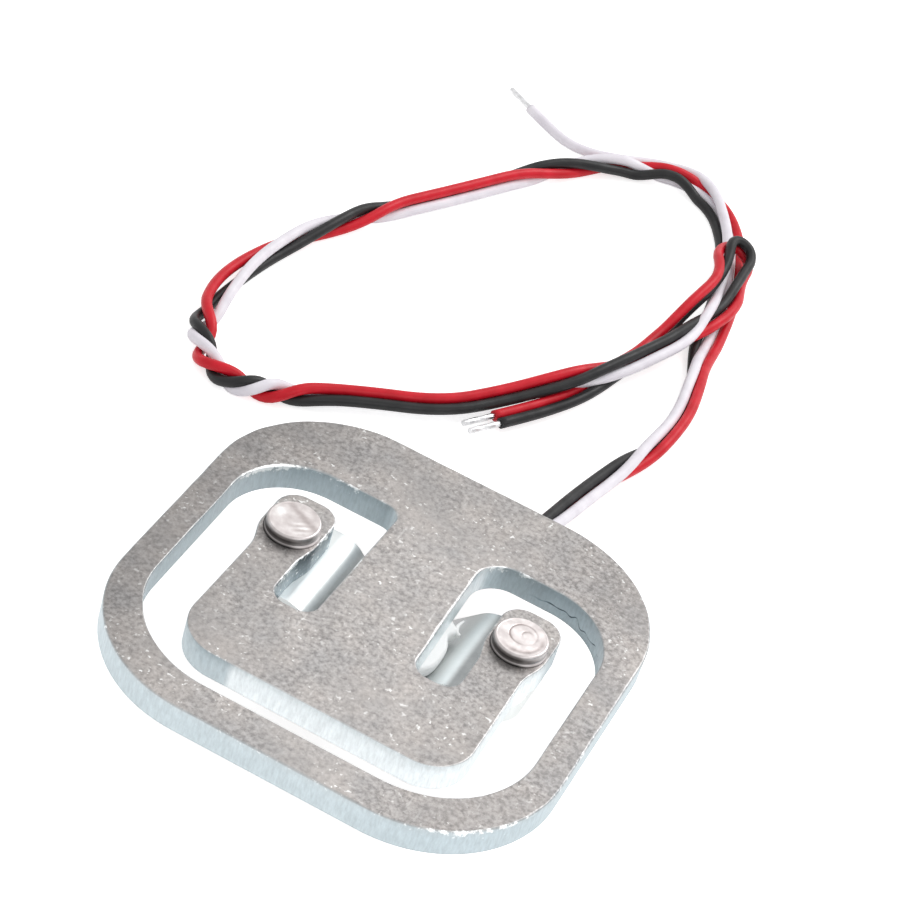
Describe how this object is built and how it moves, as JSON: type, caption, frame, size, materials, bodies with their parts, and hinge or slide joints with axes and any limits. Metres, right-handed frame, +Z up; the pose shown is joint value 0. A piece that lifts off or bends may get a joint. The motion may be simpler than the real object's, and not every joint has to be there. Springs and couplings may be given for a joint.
{
  "type": "half bridge load cell",
  "caption": "Flat rounded-square load cell: a stamped plate with a bending tongue, a riveted load strap beneath it, a gauge in silicone and twisted leads.",
  "frame": {"origin": "on the floor below the middle of the plate, at the underside of the strap's foot", "axes": "+Z up through the plate, rivet heads on top; +Y towards the side where the leads leave; +X along the line of the rivets"},
  "size_m": [0.047, 0.095, 0.0078],
  "materials": {
    "plated_steel": "zinc plated steel, satin with a fine mottle",
    "strap_steel": "zinc plated steel, satin",
    "rivet_steel": "bright turned steel",
    "polyimide_film": "amber film",
    "gauge_foil": "etched resistance foil",
    "solder": "smooth solder",
    "white_silicone": "white, satin",
    "white_insulation": "white, soft gloss",
    "red_insulation": "red, soft gloss",
    "black_insulation": "black, soft gloss",
    "tinned_copper": "tinned strands"
  },
  "bodies": {
    "root": {"sensing_plate": "plated_steel", "load_strap": "strap_steel", "rivets": "rivet_steel", "gauge_backing": "polyimide_film", "gauge_foil": "gauge_foil", "solder_joints": "solder", "silicone_cover": "white_silicone", "white_wire": "white_insulation", "red_wire": "red_insulation", "black_wire": "black_insulation", "tinned_tips": "tinned_copper"}
  },
  "joints": []
}
